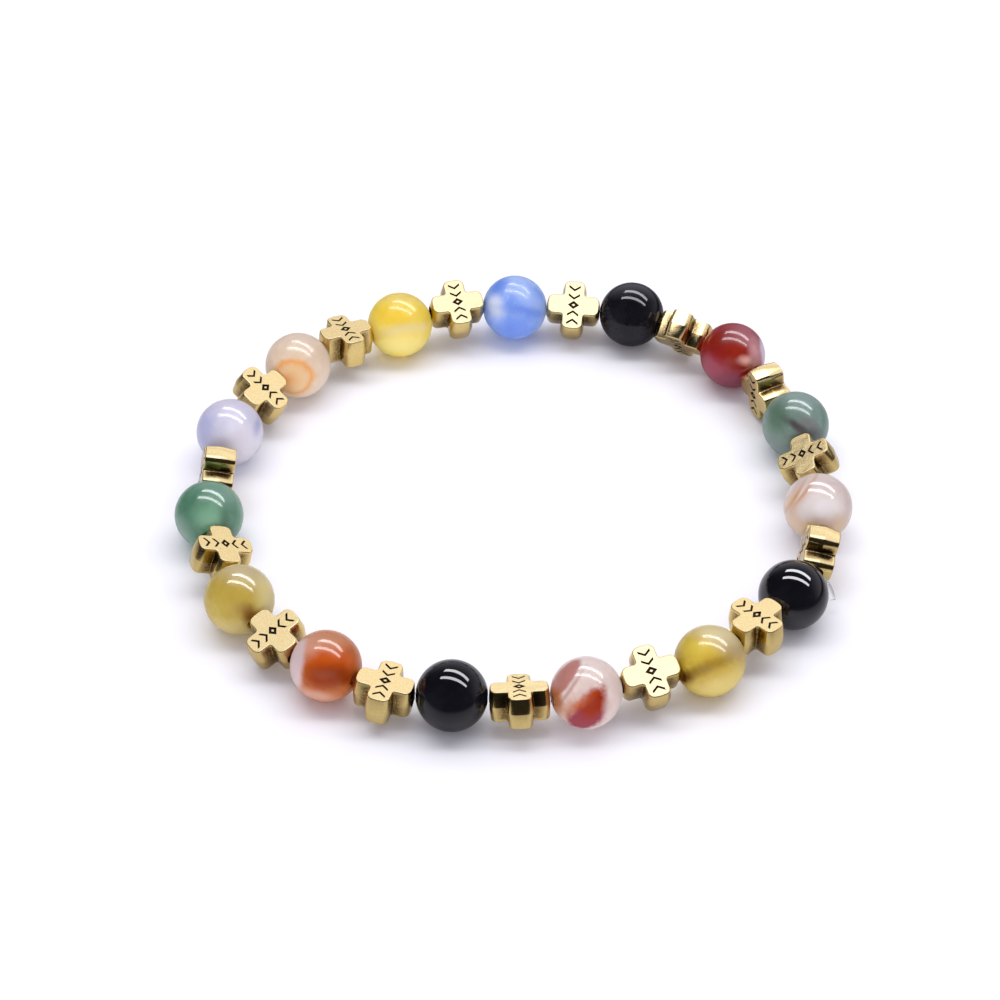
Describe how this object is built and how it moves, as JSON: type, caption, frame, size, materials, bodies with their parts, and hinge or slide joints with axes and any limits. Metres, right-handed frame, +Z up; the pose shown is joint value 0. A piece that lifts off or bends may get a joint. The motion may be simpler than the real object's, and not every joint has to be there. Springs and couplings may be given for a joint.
{
  "type": "beaded stretch bracelet",
  "caption": "Stretch bracelet of round polished stone beads in mixed colours with a small gold cross bead between each two, threaded on clear elastic.",
  "frame": {"origin": "middle of the box around the loop, on the surface that the beads rest on", "axes": "+Z up, out of the plane of the loop; +X along the loop's longer way across, to the right in the picture; +Y away from the picture's viewer"},
  "size_m": [0.069, 0.0661, 0.007],
  "materials": {
    "stone_blue": "polished banded agate, slightly translucent",
    "stone_black": "polished banded agate, slightly translucent",
    "stone_red": "polished banded agate, slightly translucent",
    "stone_sea_green": "polished banded agate, slightly translucent",
    "stone_pale_pink": "polished banded agate, slightly translucent",
    "stone_olive": "polished banded agate, slightly translucent",
    "stone_red_white": "polished banded agate, slightly translucent",
    "stone_orange": "polished banded agate, slightly translucent",
    "stone_jade": "polished banded agate, slightly translucent",
    "stone_lavender": "polished banded agate, slightly translucent",
    "stone_peach": "polished banded agate, slightly translucent",
    "stone_yellow": "polished banded agate, slightly translucent",
    "gold": "pale gold plating on cast metal, satin, dark in the cut marks",
    "elastic": "clear elastic"
  },
  "bodies": {
    "root": {"bead_blue": "stone_blue", "bead_black_back": "stone_black", "bead_red": "stone_red", "bead_sea_green": "stone_sea_green", "bead_pale_pink": "stone_pale_pink", "bead_black_right": "stone_black", "bead_olive_right": "stone_olive", "bead_red_white": "stone_red_white", "bead_black_front": "stone_black", "bead_orange": "stone_orange", "bead_olive_left": "stone_olive", "bead_jade": "stone_jade", "bead_lavender": "stone_lavender", "bead_peach": "stone_peach", "bead_yellow": "stone_yellow", "cross_01": "gold", "cross_02": "gold", "cross_03": "gold", "cross_04": "gold", "cross_05": "gold", "cross_06": "gold", "cross_07": "gold", "cross_08": "gold", "cross_09": "gold", "cross_10": "gold", "cross_11": "gold", "cross_12": "gold", "cross_13": "gold", "cross_14": "gold", "cross_15": "gold", "elastic_cord": "elastic"}
  },
  "joints": []
}
